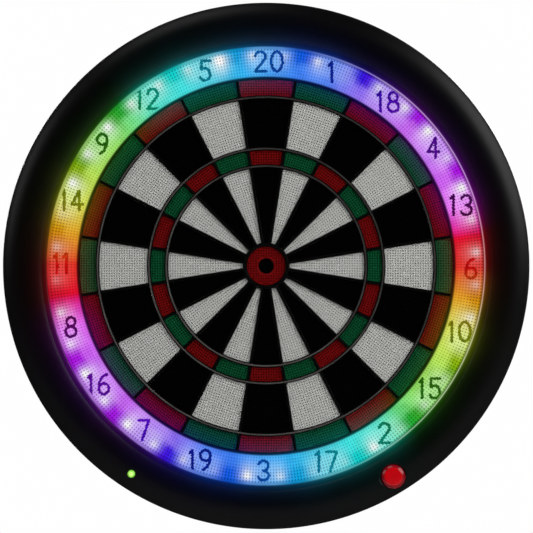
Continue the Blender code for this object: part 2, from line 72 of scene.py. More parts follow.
# The light ring: its grid of holes and its lamps
RING_COLUMNS = 22
RING_ROWS = 9
RING_HOLE = (0.82, 1.12)
LAMP_COUNT = 40
LAMP_CIRCLE = 222.5
# How bright each lamp shows through the ring, clockwise from the top
LAMPS = (
    0.2, 0.5, 0.05, 0.4, 0.6, 1.0, 0.3, 1.0, 0.4, 0.4, 0.2, 0.4, 0.05, 0.1, 0.25, 0.1, 0.8, 0.1, 0.1, 0.4,
    0.9, 0.1, 0.35, 0.5, 1.0, 0.6, 1.0, 0.5, 0.45, 0.1, 0.2, 0.1, 0.8, 0.6, 0.8, 0.5, 0.4, 0.3, 1.9, 0.45,
)
# How much light comes through each number, in the order of NUMBERS
NUMBER_LIGHT = (
    0.40, 0.34, 0.44, 0.30, 0.10, 0.75, 0.34, 0.36, 0.32, 0.44,
    0.42, 0.30, 0.55, 0.38, 0.14, 0.85, 0.34, 0.36, 0.40, 0.38,
)
# Each row is a place in half a turn, the hue there, and how saturated its pale shade is
RAINBOW = (
    (0.00, 0.575, 0.76), (0.05, 0.605, 0.72), (0.10, 0.615, 0.70), (0.15, 0.705, 0.50),
    (0.20, 0.752, 0.44), (0.25, 0.785, 0.50), (0.30, 0.775, 0.48), (0.36, 0.795, 0.57),
    (0.40, 0.820, 0.55), (0.425, 0.870, 0.80), (0.45, 0.972, 0.96), (0.50, 1.015, 0.86),
    (0.55, 1.110, 0.82), (0.60, 1.175, 0.62), (0.66, 1.225, 0.60), (0.72, 1.270, 0.58),
    (0.765, 1.380, 0.50), (0.80, 1.472, 0.62), (0.86, 1.500, 0.70), (0.91, 1.525, 0.68),
    (0.96, 1.555, 0.78), (1.00, 1.575, 0.76),
)
RING_TURN = math.radians(0.7)

# The numbers, drawn as strokes
NUMBER_HALF_HEIGHT = 10.3
NUMBER_HALF_WIDTH = 5.3
NUMBER_STROKE = 3.1
NUMBER_THICKNESS = 0.35

# The case
WINDOW = 231.3
ROLL_START = 239.0
SCREW_RING = 222.0
SCREW_COUNT = 6
RIB_COUNT = 12
RIDGE = 0.9

# The studio. Each light's row is its name, its clock angle and its angle off the board's axis in
# degrees, its distance and size in metres, its power, and the spread of its beam in degrees.
FLOOR_RADIUS, FLOOR_HEIGHT = 5200, -600
AMBIENT = 0.02
LIGHTS = (
    ("key_right", 62, 58, 2.6, 1.7, 34, 180),
    ("fill_left", 291, 62, 2.6, 1.3, 9, 180),
    ("fill_top", 342, 60, 2.6, 1.3, 9, 180),
    ("fill_lower_left", 213, 62, 2.6, 1.3, 6, 180),
    ("back_right", 60, 150, 2.6, 1.0, 3.8, 28),
    ("back_left", 300, 146, 2.6, 1.0, 3.0, 28),
)


# ---------------- reading the frame


def depths(node):
    """How far a node's front and its back are from the wall."""
    low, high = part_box(node)
    return -low.y / MM, -high.y / MM


def right_edge(node):
    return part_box(node)[1].x / MM


def half_width(node):
    low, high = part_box(node)
    return (high.x - low.x) / 2 / MM


def middle(node):
    low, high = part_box(node)
    return (low + high) / 2 / MM


def radii_at_front(node):
    """The radii of the corners on a node's front face, smallest first."""
    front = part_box(node)[0].y
    corners = [corner.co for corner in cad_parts[node].data.vertices]
    return sorted({round(math.hypot(x, z) / MM, 1) for x, y, z in corners if abs(y - front) < 0.02 * MM})


def flat(radius, clock):
    """A point on the board's face, as (x, z)."""
    return Vector((radius * math.sin(clock), radius * math.cos(clock)))


def on_face(radius, clock, depth):
    x, z = radius * math.sin(clock), radius * math.cos(clock)
    return Vector((x, -depth, z))


# ---------------- materials


def grey(level):
    return (level, level, level)


def shown(red, green, blue):
    """A colour given as it looks on a screen, as the linear colour that a shader takes."""
    return [c / 12.92 if c <= 0.04045 else ((c + 0.055) / 1.055) ** 2.4 for c in (red, green, blue)]


def operator(name, swapped=False):
    def work_out(value, other):
        pair = (other, value) if swapped else (value, other)
        return value.look.math(name, *pair)
    return work_out


class Value:
    """A number inside a shader, which plain arithmetic works on."""

    def __init__(self, look, socket):
        self.look = look
        self.socket = socket

    def __abs__(self):
        return self.look.math("ABSOLUTE", self)

    __add__ = __radd__ = operator("ADD")
    __mul__ = __rmul__ = operator("MULTIPLY")
    __sub__ = operator("SUBTRACT")
    __rsub__ = operator("SUBTRACT", swapped=True)
    __truediv__ = operator("DIVIDE")


class Look:
    """One procedural material: a Principled shader and the nodes that feed it."""

    def __init__(self, name, **constants):
        self.material = bpy.data.materials.new(name)
        self.material.use_nodes = True
        self.tree = self.material.node_tree
        self.shader = self.tree.nodes["Principled BSDF"]
        for key, value in constants.items():
            self.shader.inputs[key.replace("_", " ")].default_value = value
        self.place = self.add("ShaderNodeTexCoord").outputs["Object"]

    def feed(self, socket, value):
        if isinstance(value, Value):
            value = value.socket
        if isinstance(value, bpy.types.NodeSocket):
            self.tree.links.new(value, socket)
        else:
            socket.default_value = value

    def add(self, kind, inputs=None, **settings):
        node = self.tree.nodes.new(kind)
        for key, value in settings.items():
            setattr(node, key, value)
        for key, value in (inputs or {}).items():
            self.feed(node.inputs[key], value)
        return node

    def value(self, kind, inputs=None, output=0, **settings):
        return Value(self, self.add(kind, inputs, **settings).outputs[output])

    def math(self, operation, *values):
        return self.value("ShaderNodeMath", dict(enumerate(values)), operation=operation)

    def parts(self, vector):
        return [Value(self, part) for part in self.add("ShaderNodeSeparateXYZ", {0: vector}).outputs]

    def smooth(self, value, start, stop, low=0.0, high=1.0):
        """Goes smoothly from low to high as the value goes from start to stop."""
        span = {"Value": value, "From Min": start, "From Max": stop, "To Min": low, "To Max": high}
        return self.value("ShaderNodeMapRange", span, interpolation_type="SMOOTHSTEP")

    def mix(self, factor, first, second):
        return self.add("ShaderNodeMix", {0: factor, 6: first, 7: second}, data_type="RGBA").outputs[2]

    def noise(self, scale, detail, place=None):
        inputs = {"Vector": place or self.place, "Scale": scale, "Detail": detail}
        return self.value("ShaderNodeTexNoise", inputs)

    def patches(self, scale, detail, low=0.0, high=1.0, start=0.3, stop=0.7, place=None):
        """Goes between low and high from place to place."""
        return self.smooth(self.noise(scale, detail, place), start, stop, low, high)

    def mottled(self, colour, spread, scale):
        """The colour, a little lighter and darker from place to place."""
        dark, light = ([c * share for c in colour] for share in (1 - spread, 1 + spread))
        return self.mix(self.noise(scale, 4.0), (*dark, 1), (*light, 1))

    def gloss(self, low, high, scale):
        return self.patches(scale, 4.0, low, high)

    def finish(self, colour, roughness, height=None, depth=0.0):
        """Sets the colour, the roughness and a bump of this depth, and gives the material."""
        self.feed(self.shader.inputs["Base Color"], colour)
        self.feed(self.shader.inputs["Roughness"], roughness)
        if height:
            bump = self.add("ShaderNodeBump", {"Strength": 1.0, "Distance": depth * MM, "Height": height})
            self.feed(self.shader.inputs["Normal"], bump.outputs[0])
        return self.material

    def glow(self, light, share=None):
        """Gives off the light, or a share of it."""
        light = light if share is None else self.mix(share, BLACK, light)
        self.feed(self.shader.inputs["Emission Color"], light)
        self.shader.inputs["Emission Strength"].default_value = 1.0

    def polar(self, centre=(0, 0, 0)):
        """The distance from a line along Y in millimetres, and the clock angle in radians."""
        centre = [c * MM for c in centre]
        away = self.add("ShaderNodeVectorMath", {0: self.place, 1: centre}, operation="SUBTRACT")
        x, _, z = self.parts(away.outputs[0])
        return self.math("SQRT", x * x + z * z) / MM, self.math("ARCTAN2", x, z)

    def rainbow(self, clock, pale=False):
        """The lamps' colour at this clock angle, in its pale or its deep shade."""
        cycle = self.math("FRACT", clock / math.pi)
        ramp = self.add("ShaderNodeValToRGB", {"Fac": cycle})
        stops = ramp.color_ramp.elements
        for n, (position, hue, saturation) in enumerate(RAINBOW):
            stop = stops[n] if n < 2 else stops.new(position)
            stop.position = position
            lift = 0.08 if 0.55 < hue < 0.85 or hue > 1.55 else 0.0
            dim = 0.16 if 1.2 < hue < 1.45 else 0.0
            shade = (saturation, 0.92 + lift) if pale else (0.95, 0.88 + lift - dim)
            stop.color = (*shown(*colorsys.hsv_to_rgb(hue % 1, *shade)), 1)
        return ramp.outputs[0]

    def lamp(self):
        """How bright the lamp behind this place is, as the mesh stores it."""
        return self.value("ShaderNodeAttribute", output="Fac", attribute_name="lamp")


def segment_looks(name, colour, pit_shade_share, glow=0.0):
    """Moulded nylon for a segment's face, and the same nylon darkened in its holes as painted shade, with
    painted light from the ring if glow is given.
    """
    looks = []
    # The pit material is the same nylon darker by a share: painted shade in the holes.
    for part, share, specular in (("face", 1.0, 0.05), ("pit", pit_shade_share, 0.02)):
        look = Look(f"{name}_{part}", Specular_IOR_Level=specular)
        if glow:
            # Painted light: the ring's colour glows on the segment, rising towards the board's outer
            # edge.
            radius, clock = look.polar()
            look.glow(look.rainbow(clock), look.smooth(radius, 176.0, 200.0, 0.0, glow * share))
        nylon = look.mottled([c * share for c in colour], 0.10, 260.0)
        looks.append(look.finish(nylon, look.gloss(0.32, 0.42, 900.0), look.noise(2600.0, 2.0), 0.01))
    return looks


def spider_look():
    """Black moulded frame. Its ring crests carry a painted highlight, brightest at the lower left, and
    its outer ring a painted glow of the ring's light.
    """
    look = Look("spider_frame", Specular_IOR_Level=0.14)
    radius, clock = look.polar()
    on_ring = 0.0
    for inner, outer in SPIDER_RINGS[1:4]:
        crest = look.smooth(abs(radius - (inner + outer) / 2), 1.0, 0.45)
        on_ring = look.math("MAXIMUM", on_ring, crest)
    # Painted highlight: the ring crests turn light grey, most at the lower left, facing the key light at
    # the upper right.
    side = look.math("COSINE", clock - math.radians(225))
    painted_highlight = look.smooth(side, -1.0, 1.0, 0.45, 1.0) * look.patches(45.0, 3.0, 0.6, 1.0, stop=0.75)
    # Painted light: the ring's colours glow faintly on the spider's outer ring, next to the lamps.
    near = look.smooth(radius, 195.5, 199.5) * look.smooth(radius, 200.5, 199.5)
    look.glow(look.rainbow(clock - RING_TURN), near * 0.09)
    colour = look.mix(on_ring * painted_highlight, look.mottled(grey(0.0012), 0.25, 400.0), (0.16, 0.15, 0.14, 1))
    return look.finish(colour, look.gloss(0.3, 0.42, 700.0), look.noise(1800.0, 2.0), 0.01)


def lamp_light(look):
    """The colour of the lit ring: pale inside and deep outside, with a hot spot at each lamp and a
    painted highlight on its outer lip at the right.
    """
    radius, clock = look.polar()
    clock = clock - RING_TURN
    deep, pale = look.rainbow(clock), look.rainbow(clock, pale=True)
    off_number = abs(look.math("FRACT", clock / WEDGE + 0.5) - 0.5)
    near_number = look.smooth(off_number, 0.44, 0.14)

    # The pale band gives way to the deep one along a ragged line, farther out beside a number
    along_ring = look.add("ShaderNodeCombineXYZ", {0: clock * 130.0, 1: radius * 0.08}).outputs[0]
    streaks = look.patches(1.0, 2.0, place=along_ring)
    patches = look.patches(38.0, 2.0, start=0.35, stop=0.65)
    outer = look.smooth(radius + streaks * 3.2 + patches * 3.0, 214.5, 224.5)
    shade = look.mix(0.12, deep, BLACK)
    lit = look.mix(outer * (1.0 - near_number * 0.7), look.mix(patches * 0.35, pale, shade), shade)

    # Haze round each number, except near the red of the two sides
    haze = look.smooth(radius, 202.0, 214.0, 0.08, 0.42) * look.smooth(radius, 229.5, 224.0, 0.6, 1.0)
    off_side = look.smooth(abs(look.math("COSINE", clock)), 0.05, 0.35, 0.15, 1.0)
    lit = look.mix(near_number * haze * off_side, lit, look.mix(0.38, pale, (1.0, 1.2, 1.2, 1)))

    # Each lamp is a small core in a wide halo, both longer towards the centre of the board
    lamp_turn = look.math("FRACT", clock * (LAMP_COUNT / FULL_TURN))
    across = (lamp_turn - 0.5) * radius * (FULL_TURN / LAMP_COUNT)
    along = radius - LAMP_CIRCLE
    inward = look.math("LESS_THAN", along, 0.0)
    strength = look.lamp()
    for width, outward, extra, most in ((4.0, 3.0, 2.4, 1.0), (8.5, 5.0, 7.5, 0.42)):
        a, b = across / width, along / (outward + inward * extra)
        spot = look.math("EXPONENT", (a * a + b * b) * -1.0)
        lit = look.mix(look.math("MINIMUM", spot * strength * most, most), lit, WHITE)

    # Both edges fall off into the dark, and a painted highlight along the outer lip stands for the light
    # it catches at the right
    right = look.smooth(look.math("COSINE", clock - math.radians(85)), 0.1, 0.8)
    dark = 0.62 - right * 0.40
    rim = dark + look.smooth(radius, 229.6, 226.6) * (1.0 - dark)
    edge = look.smooth(radius, 199.0, 201.2, 0.25, 1.0) * rim
    lit = look.mix(edge, look.mix(0.92, deep, BLACK), lit)
    # Painted highlight: a pale line along the outer lip, strongest at the right.
    lip = look.smooth(abs(radius - 230.3), 0.9, 0.35) * right * 0.6
    return look.mix(lip, lit, look.mix(0.5, pale, (0.8, 0.7, 0.75, 1)))


def ring_looks():
    """The lit plastic of the number ring, and the darker bottoms of its holes."""
    looks = []
    for part, inner, outer in (("face", 1.0, 1.0), ("pit", 0.64, 0.44)):
        look = Look(f"diffuser_{part}", Specular_IOR_Level=0.06)
        share = look.smooth(look.polar()[0], 206.0, 224.0, inner, outer)
        cloud = look.patches(140.0, 3.0, 0.9, 1.0, 0.25, 0.75)
        look.glow(lamp_light(look), share * cloud)
        plastic = look.mottled((0.003, 0.003, 0.0035), 0.2, 500.0)
        looks.append(look.finish(plastic, look.gloss(0.28, 0.38, 800.0), look.noise(1500.0, 2.0), 0.02))
    return looks


def number_look():
    """A number: blocked holes, so only a deep shade of the ring's own colour comes through."""
    look = Look("number", Specular_IOR_Level=0.08)
    _, clock = look.polar()
    deep = look.add("ShaderNodeGamma", {0: look.rainbow(clock - RING_TURN), 1: 1.35}).outputs[0]
    look.glow(deep, look.patches(420.0, 2.0, 0.6, 1.1) * look.lamp())
    colour = look.mottled((0.002, 0.002, 0.003), 0.3, 600.0)
    return look.finish(colour, look.gloss(0.4, 0.6, 700.0), look.noise(1500.0, 2.0), 0.03)


def case_front_look():
    """Satin black moulded case, with a painted glow of the ring's light near its window, and dulled at
    its outer edge.
    """
    look = Look("case_front", Specular_IOR_Level=0.175)
    radius, clock = look.polar()
    # Painted light: the ring's colours glow on the case just outside the window, fading outwards.
    past = radius - 231.0
    close, wide = (look.math("EXPONENT", past / -fade) for fade in (3.0, 8.5))
    share = (close * 0.12 + wide * 0.05) * look.patches(14.0, 2.0, 0.6, 1.2)
    look.glow(look.rainbow(clock), look.math("MINIMUM", share, 0.3))
    roughness = look.gloss(0.30, 0.36, 350.0) + look.smooth(radius, 275.0, 276.4, 0.0, 0.25)
    return look.finish(look.mottled(grey(0.0008), 0.2, 60.0), roughness, look.noise(2200.0, 3.0), 0.008)


def case_back_look():
    look = Look("case_back", Specular_IOR_Level=0.4)
    colour, roughness = look.mottled(grey(0.010), 0.2, 60.0), look.gloss(0.36, 0.46, 350.0)
    return look.finish(colour, roughness, look.noise(2200.0, 3.0), 0.008)


def button_look():
    look = Look("button_gloss", Specular_IOR_Level=0.1, Coat_Weight=0.5, Coat_Roughness=0.12)
    radius, _ = look.polar(middle("button_cap"))
    face = look.mottled((0.90, 0.002, 0.008), 0.10, 120.0)
    # Painted shade: the sloping rim round the face is a much darker red than the face.
    colour = look.mix(look.smooth(radius, 8.6, 11.0), face, (0.33, 0.004, 0.012, 1))
    return look.finish(colour, look.gloss(0.3, 0.38, 500.0), look.noise(900.0, 2.0), 0.01)


def pilot_look():
    look = Look("pilot_lens", Specular_IOR_Level=0.5)
    radius, _ = look.polar(middle("indicator_lens"))
    core = look.mottled(shown(0.82, 0.98, 0.55), 0.08, 900.0)
    look.glow(look.mix(look.smooth(radius, 1.2, 3.9), core, (*shown(0.36, 0.62, 0.12), 1)))
    return look.finish((*shown(0.4, 0.7, 0.2), 1), look.gloss(0.2, 0.3, 900.0))


def metal_look(name, colour, low, high):
    """Bare or plated metal."""
    look = Look(name, Metallic=1.0)
    lines = look.noise(1400.0, 3.0)
    dark, light = ([c * share for c in colour] for share in (0.8, 1.1))
    colour = look.mix(lines, (*dark, 1), (*light, 1))
    return look.finish(colour, look.gloss(low, high, 300.0), lines, 0.01)


def coated_look(name, colour, low, high, scale, depth, specular=0.4):
    """A coloured solid with mottling, uneven gloss and a surface grain."""
    look = Look(name, Specular_IOR_Level=specular)
    colour = look.mottled(colour, 0.22, scale / 8)
    return look.finish(colour, look.gloss(low, high, scale / 2), look.noise(scale, 4.0), depth)


def floor_look():
    """Matt pale paint that fades to white far off, without lighting the board."""
    look = Look("floor_paint", Specular_IOR_Level=0.1)
    x, y, _ = look.parts(look.place)
    away = look.math("SQRT", x * x + y * y) / MM
    seen = look.value("ShaderNodeLightPath", output="Is Camera Ray")
    look.glow(WHITE, seen * look.smooth(away, 800, FLOOR_RADIUS * 0.85, 0.5, 0.98))
    colour = look.mottled((0.6, 0.6, 0.595), 0.03, 9.0)
    return look.finish(colour, look.gloss(0.8, 0.95, 300.0), look.noise(500.0, 4.0), 0.02)


def circuit_look(name):
    """Green solder mask over copper tracks."""
    look = Look(name, Specular_IOR_Level=0.5)
    cells = look.value("ShaderNodeTexVoronoi", {"Vector": look.place, "Scale": 260.0},
                       feature="DISTANCE_TO_EDGE", distance="MANHATTAN")
    track = look.smooth(cells, 0.10, 0.04)
    colour = look.mix(track, look.mottled((0.008, 0.10, 0.035), 0.15, 90.0), (0.02, 0.22, 0.06, 1))
    return look.finish(colour, look.gloss(0.3, 0.45, 300.0), track, 0.03)


def film_look():
    """Clear polyester film with printed silver tracks along circles."""
    look = Look("film_print", Specular_IOR_Level=0.5)
    radius, _ = look.polar()
    line = look.smooth(abs(look.math("FRACT", radius / 6.0) - 0.5), 0.12, 0.06)
    colour = look.mix(line, look.mottled((0.55, 0.48, 0.33), 0.1, 40.0), (0.5, 0.5, 0.52, 1))
    return look.finish(colour, look.gloss(0.18, 0.3, 200.0), line, 0.01)


# ---------------- mesh helpers


@contextmanager
def editing(mesh):
    """A bmesh to work on, which becomes the mesh afterwards."""
    builder = bmesh.new()
    builder.from_mesh(mesh)
    yield builder
    builder.to_mesh(mesh)
    builder.free()


def link(name, data):
    thing = bpy.data.objects.new(name, data)
    bpy.context.scene.collection.objects.link(thing)
    return thing


def soften(points, size, steps=3):
    """A closed outline with each sharp corner replaced by a small curve."""
    result = []
    for n, corner in enumerate(points):
        corner = Vector(corner)
        to_last = Vector(points[n - 1]) - corner
        to_next = Vector(points[(n + 1) % len(points)]) - corner
        if to_last.angle(-to_next) < math.radians(20):
            result.append(corner)
            continue
        reach = min(size, 0.45 * to_last.length, 0.45 * to_next.length)
        start = corner + to_last.normalized() * reach
        stop = corner + to_next.normalized() * reach
        for step in range(steps + 1):
            t = step / steps
            result.append(start * (1 - t) ** 2 + corner * 2 * t * (1 - t) + stop * t ** 2)
    return result


def arc(angle, steps):
    """Evenly spaced angles from 0 to this one."""
    return [angle * step / steps for step in range(steps + 1)]


def turns(steps):
    return arc(FULL_TURN, steps)[:-1]


def circle(radius, steps):
    return [flat(radius, turn) for turn in turns(steps)]


def round_smoothly(mesh, sharp):
    mesh.shade_smooth()
    mesh.set_sharp_from_angle(angle=math.radians(sharp))


def new_piece(name, points, faces, materials=(), slots=None):
    """An object from points and faces, with its faces pointing out and its round parts smooth."""
    mesh = bpy.data.meshes.new(name)
    mesh.from_pydata([[c * MM for c in point] for point in points], [], faces)
    for material in materials:
        mesh.materials.append(material)
    if slots is not None:
        mesh.polygons.foreach_set("material_index", slots)
    with editing(mesh) as builder:
        bmesh.ops.remove_doubles(builder, verts=builder.verts, dist=1e-6)
        bmesh.ops.recalc_face_normals(builder, faces=builder.faces)
    round_smoothly(mesh, 30)
    return link(name, mesh)


def lathe(name, profile, materials, steps, centre=(0, 0, 0)):
    """A profile of (radius, depth) turned about a line along Y. It closes on itself or the axis."""
    on_axis = {n for n, (radius, _) in enumerate(profile) if radius < 1e-4}
    points, starts = [], []
    for n, (radius, depth) in enumerate(profile):
        starts.append(len(points))
        points += [on_face(radius, turn, depth) for turn in ([0] if n in on_axis else turns(steps))]
    faces = []
    for n in range(len(profile) - 1 if on_axis else len(profile)):
        m = (n + 1) % len(profile)
        a, b = starts[n], starts[m]
        for step in range(steps):
            after = (step + 1) % steps
            low = (a,) if n in on_axis else (a + step, a + after)
            high = (b,) if m in on_axis else (b + after, b + step)
            faces.append(low + high)
    piece = new_piece(name, points, faces, materials)
    piece.data.transform(Matrix.Translation((centre[0] * MM, 0, centre[2] * MM)))
    return piece


def bridge(first, second):
    """A solid between two loops that have as many points, to join to a piece or cut from it."""
    count = len(first)
    faces = [tuple(range(count)), tuple(range(count, 2 * count))]
    faces += [(n, (n + 1) % count, count + (n + 1) % count, count + n) for n in range(count)]
    return new_piece("cutter", first + second, faces)


def fill(loops):
    """Triangles between an outer loop and the loops inside it. All the loops run clockwise."""
    corners = [corner for loop in loops for corner in loop]
    rings, start = [], 0
    for loop in loops:
        rings.append(list(range(start, start + len(loop)))[::-1])
        start += len(loop)
    places, _, triangles, origins, _, owners = delaunay_2d_cdt(corners, [], rings, 1, 1e-4)
    if len(places) != len(corners):
        raise ValueError("an outline crosses itself or one of its holes")
    index = [sources[0] for sources in origins]
    kept = [tuple(index[n] for n in face) for face, own in zip(triangles, owners) if set(own) == {0}]
    return corners, kept


def remove(pieces):
    for piece in pieces:
        bpy.data.objects.remove(piece, do_unlink=True)


def cut(piece, cutters, operation="DIFFERENCE"):
    for cutter in cutters:
        modifier = piece.modifiers.new(cutter.name, "BOOLEAN")
        modifier.operation = operation
        modifier.solver = "EXACT"
        modifier.object = cutter
    apply_modifiers(piece, 28)
    remove(cutters)


def bevel(piece, width, segments, angle):
    modifier = piece.modifiers.new("edges", "BEVEL")
    modifier.width = width * MM
    modifier.segments = segments
    modifier.limit_method = "ANGLE"
    modifier.angle_limit = math.radians(angle)
    apply_modifiers(piece, 35)


def apply_modifiers(piece, sharp):
    """Keeps what the modifiers make, with coinciding points joined and hairline cracks closed."""
    graph = bpy.context.evaluated_depsgraph_get()
    mesh = bpy.data.meshes.new_from_object(piece.evaluated_get(graph))
    piece.modifiers.clear()
    piece.data = mesh
    with editing(mesh) as builder:
        bmesh.ops.remove_doubles(builder, verts=builder.verts, dist=2e-6)
        bmesh.ops.dissolve_degenerate(builder, edges=builder.edges, dist=1e-6)
        cracks = [edge for edge in builder.edges if edge.is_boundary]
        if cracks:
            bmesh.ops.holes_fill(builder, edges=cracks, sides=0)
    round_smoothly(mesh, sharp)


def store_lamp(piece, values):
    """Stores at each point how bright the lamp behind it is."""
    layer = piece.data.attributes.new("lamp", "FLOAT", "POINT")
    layer.data.foreach_set("value", values)


def place(piece, body, slot, *nodes):
    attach(piece, body)
    if nodes:
        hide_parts(*nodes)


# ---------------- scoring segments


def wedge_outline(inner, outer, inset):
    """The outline of a segment at the top of the board, with its four corners eased."""
    outline = []
    for radius, steps, way in ((outer - inset, 12, 1), (inner + inset, 6, -1)):
        half = WEDGE / 2 - math.asin((SIDE_GAP + inset) / radius)
        outline += [flat(radius, way * half * (2 * step / steps - 1)) for step in range(steps + 1)]
    return soften(outline, 0.9)


def wedge_holes(inner, outer):
    """A square grid of hole centres, in line with the wedge and clear of its edges."""
    clear = HOLE_RADIUS + HOLE_RIM
    rows = int((outer - inner - 2 * clear) / HOLE_PITCH) + 1
    start = (inner + outer - (rows - 1) * HOLE_PITCH) / 2
    columns = int(outer * math.sin(WEDGE / 2) / HOLE_PITCH) + 1
    holes = []
    for row in range(-1, rows + 1):
        for column in range(-columns, columns + 1):
            x, z = column * HOLE_PITCH, start + row * HOLE_PITCH
            side = z * math.sin(WEDGE / 2) - abs(x) * math.cos(WEDGE / 2)
            if inner + clear <= math.hypot(x, z) <= outer - clear and side >= SIDE_GAP + clear:
                holes.append((x, z))
    return holes


def bull_holes(inner, outer):
    """A square grid of hole centres between two circles."""
    clear = HOLE_RADIUS + HOLE_RIM
    reach = int(outer / HOLE_PITCH) + 1
    steps = [n * HOLE_PITCH for n in range(-reach, reach + 1)]
    return [(x, z) for x in steps for z in steps if inner + clear <= math.hypot(x, z) <= outer - clear]


def add_pits(points, faces, slots, first, centres, front):
    """A tapered pit under each hole, with its walls and floor in the second material."""
    for number, (middle_x, middle_z) in enumerate(centres):
        start, rim = len(points), first + HOLE_SIDES * number
        for x, _, z in points[rim:rim + HOLE_SIDES]:
            points.append(((x + middle_x) / 2, -front + HOLE_DEPTH, (z + middle_z) / 2))
        for n in range(HOLE_SIDES):
            after = (n + 1) % HOLE_SIDES
            faces.append((rim + n, rim + after, start + after, start + n))
        faces.append(tuple(range(start, start + HOLE_SIDES)))
        slots += [1] * (HOLE_SIDES + 1)


def perforated_block(name, outlines_at, holes, front):
    """A block with a chamfered front edge and a grid of small pits in its front face."""
    top, edges = outlines_at(EDGE_CHAMFER), outlines_at(0.0)
    rims = [[Vector(hole) + corner for corner in circle(HOLE_RADIUS, HOLE_SIDES)] for hole in holes]
    corners, faces = fill(top + rims)
    base_corners, base_faces = fill(edges)
    upper, lower = len(corners), len(corners) + len(base_corners)
    points = [(x, -front, z) for x, z in corners]
    for depth in (front - EDGE_CHAMFER * 0.8, front - BLOCK_HEIGHT):
        points += [(x, -depth, z) for x, z in base_corners]
    start = 0
    for loop in edges:
        for n in range(len(loop)):
            a, b = start + n, start + (n + 1) % len(loop)
            faces += [(a, b, upper + b, upper + a), (upper + a, upper + b, lower + b, lower + a)]
        start += len(loop)
    faces += [tuple(lower + n for n in face) for face in base_faces]
    slots = [0] * len(faces)
    add_pits(points, faces, slots, start, holes, front)
    return new_piece(name, points, faces, slots=slots)


def copy_at(source, name, clock, materials):
    """A copy of a piece from the top of the board, turned to its own clock angle."""
    mesh = source.data.copy()
    mesh.name = name
    mesh.transform(Matrix.Rotation(clock, 4, "Y"))
    for material in materials:
        mesh.materials.append(material)
    return link(name, mesh)


def make_segments():
    looks = {
        "black": segment_looks("black_nylon", (0.0005, 0.0005, 0.0005), 0.5),
        "white": segment_looks("white_nylon", (0.772, 0.781, 0.741), 0.72),
        # The red and green segments get painted light from the ring near the board's outer edge.
        "red": segment_looks("red_nylon", (0.230, 0.0050, 0.0056), 0.55, glow=0.06),
        "green": segment_looks("green_nylon", (0.0052, 0.106, 0.037), 0.5, glow=0.06),
    }
    front, _ = depths("single_20")
    for group, kinds, colours in (
        ("single", ("inner_single", "outer_single"), ("black", "white")),
        ("double_treble", ("treble", "double"), ("red", "green")),
    ):
        radii = radii_at_front(f"{group}_20")
        for kind, (inner, outer) in zip(kinds, (radii[:2], radii[-2:])):
            holes = wedge_holes(inner, outer)
            source = perforated_block(
                kind, lambda inset: [wedge_outline(inner, outer, inset)], holes, front)
            for n, number in enumerate(NUMBERS):
                node, colour = f"{group}_{number:02d}", colours[n % 2]
                piece = copy_at(source, f"{kind}_{number:02d}", n * WEDGE, looks[colour])
                place(piece, node, f"{colour}_segment", node)
            remove([source])
    hole, *_, rim = radii_at_front("outer_bull")
    disc = radii_at_front("inner_bull")[-1]
    for node, colour, outlines_at, holes in (
        ("outer_bull", "red", lambda inset: [circle(rim - inset, 64), circle(hole + inset, 32)],
         bull_holes(hole, rim)),
        ("inner_bull", "black", lambda inset: [circle(disc - inset, 32)], bull_holes(-HOLE_PITCH, disc)),
    ):
        source = perforated_block(node, outlines_at, holes, front)
        place(copy_at(source, f"{node}_segment", 0, looks[colour]), node, f"{colour}_segment", node)
        remove([source])


# ---------------- spider


def spider_rings():
    """The spider's rings, as pairs of radii around the gaps that the segments leave."""
    singles, scoring = radii_at_front("single_20"), radii_at_front("double_treble_20")
    bull, light = radii_at_front("outer_bull")[-1], radii_at_front("light_ring")[0]
    gap = 0.5
    inner_edges = (bull, singles[1], scoring[1], singles[-1], scoring[-1])
    outer_edges = (singles[0], scoring[0], singles[-2], scoring[-2], light + 0.1)
    return [(inner + gap, outer - gap) for inner, outer in zip(inner_edges, outer_edges)]


SPIDER_RINGS = spider_rings()


def build_spider(builder):
    """Rings and radial ribs, on the flat flange that the bezel holds."""
    front, back = depths("spider")
    flange, flange_radius = 33.4, 236.0
    radii = [radius for ring in SPIDER_RINGS for radius in ring] + [flange_radius]
    arcs = 12
    rows = []
    for radius in radii:
        lean = math.asin(RIB_HALF / radius)
        span = WEDGE - 2 * lean
        row = []
        for n in range(len(NUMBERS)):
            rib = (n - 0.5) * WEDGE
            clocks = [rib - lean] + [rib + lean + turn for turn in arc(span, arcs)[:-1]]
            row += [builder.verts.new(on_face(radius, clock, back)) for clock in clocks]
        rows.append(row)
    count = len(rows[0])
    low, tall = [], []
    for level, (inner, outer) in enumerate(zip(rows, rows[1:])):
        on_ring = level % 2 == 0
        on_flange = level == len(rows) - 2
        for column in range(count):
            if on_ring or on_flange or column % (arcs + 1) == 0:
                after = (column + 1) % count
                face = builder.faces.new((inner[column], inner[after], outer[after], outer[column]))
                (low if on_flange else tall).append(face)
    raise_faces(builder, low + tall, flange - back)
    standing = []
    for face in builder.faces:
        centre = face.calc_center_median()
        at_flange = all(abs(corner.co.y + flange) < 1e-3 for corner in face.verts)
        if at_flange and math.hypot(centre.x, centre.z) < radii[-2]:
            standing.append(face)
    raise_faces(builder, standing, front - flange)
    bmesh.ops.delete(builder, geom=standing, context="FACES_ONLY")
    bare = [edge for edge in builder.edges if not edge.link_faces]
    bmesh.ops.delete(builder, geom=bare, context="EDGES")
    bmesh.ops.recalc_face_normals(builder, faces=builder.faces)


def make_spider():
    mesh = bpy.data.meshes.new("spider_frame")
    with editing(mesh) as builder:
        build_spider(builder)
    mesh.transform(Matrix.Scale(MM, 4))
    mesh.materials.append(spider_look())
    piece = link("spider_frame", mesh)
    bevel(piece, 0.42, segments=3, angle=50)
    place(piece, "board", "spider_black", "spider")


